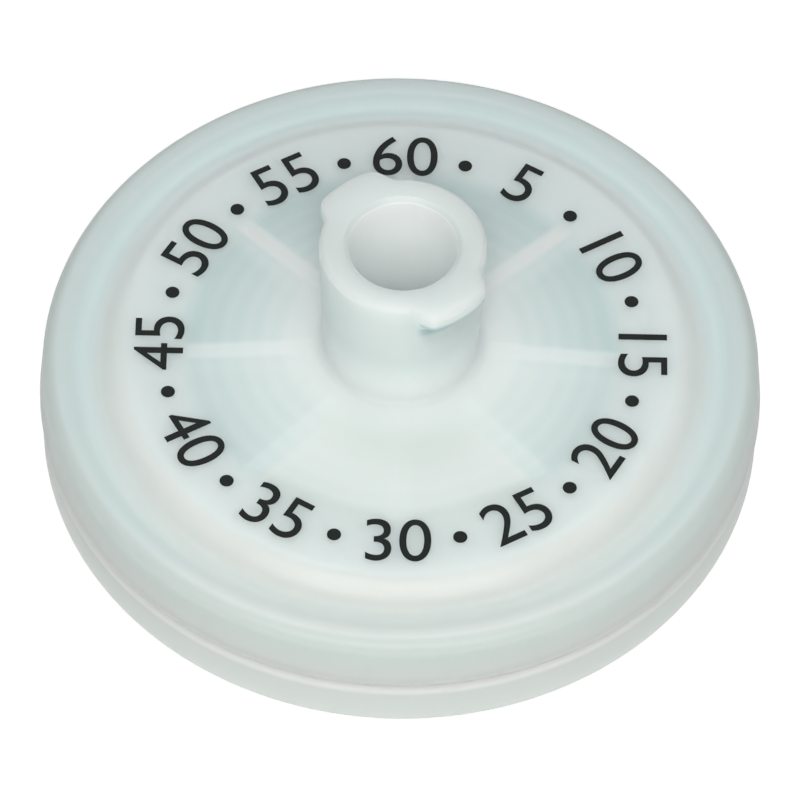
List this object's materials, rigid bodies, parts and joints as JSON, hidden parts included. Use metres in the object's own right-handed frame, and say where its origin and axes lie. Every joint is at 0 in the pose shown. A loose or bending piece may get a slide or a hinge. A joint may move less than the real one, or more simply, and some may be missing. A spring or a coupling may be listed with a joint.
{
  "type": "syringe filter",
  "caption": "Translucent white polypropylene syringe filter with a female Luer lock inlet hub, an eight-armed star that shows through its face, a thick welded rim and a male Luer slip outlet tip.",
  "frame": {"origin": "centre of the outlet tip's open end, which is the lowest plane of the filter", "axes": "+Z along the filter's axis, towards the inlet hub; the hub's lugs lie at -52 and 128 degrees about Z"},
  "size_m": [0.029, 0.029, 0.022],
  "materials": {
    "shell_plastic": "satin, translucent milky white",
    "membrane_sheet": "matte"
  },
  "bodies": {
    "root": {"inlet_shell": "shell_plastic", "membrane": "membrane_sheet", "outlet_shell": "shell_plastic"}
  },
  "joints": []
}
